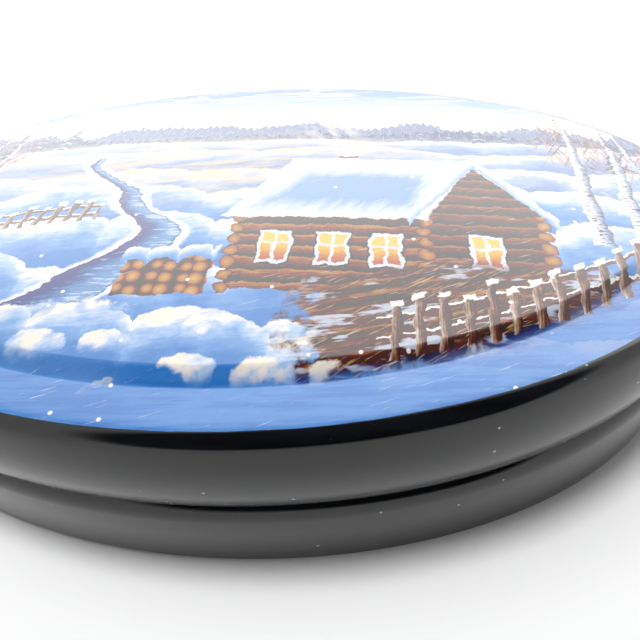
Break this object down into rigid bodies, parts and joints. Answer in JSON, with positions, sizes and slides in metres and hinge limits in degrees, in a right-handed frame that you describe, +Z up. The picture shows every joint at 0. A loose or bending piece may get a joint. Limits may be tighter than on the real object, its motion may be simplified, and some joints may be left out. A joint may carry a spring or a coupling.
{
  "type": "oval lacquer box",
  "caption": "Low oval papier-mache trinket box with a lift-off lid: glossy black lacquer outside, red inside, a painted winter view on the domed lid.",
  "frame": {"origin": "middle of the flat underside, on the surface that the box stands on", "axes": "+Z up, +X along the long axis of the oval, -Y towards the front, where the bottom edge of the picture is"},
  "size_m": [0.12, 0.08, 0.0253],
  "materials": {
    "black_lacquer": "polished black oil lacquer over papier-mache, mirror gloss",
    "red_lacquer": "red interior lacquer, satin gloss",
    "painted_ground": "oil painting in blue, white and brown under clear polished lacquer"
  },
  "bodies": {
    "base": {"base_wall": "black_lacquer", "base_floor": "black_lacquer", "inner_collar": "red_lacquer"},
    "lid": {"lid_wall": "black_lacquer", "lid_panel": "black_lacquer", "picture_ground": "painted_ground"}
  },
  "joints": [
    {"name": "lid_lift", "type": "slide", "parent": "base", "child": "lid", "axis": [0, 0, 1], "range_m": [0, 0.04]}
  ]
}
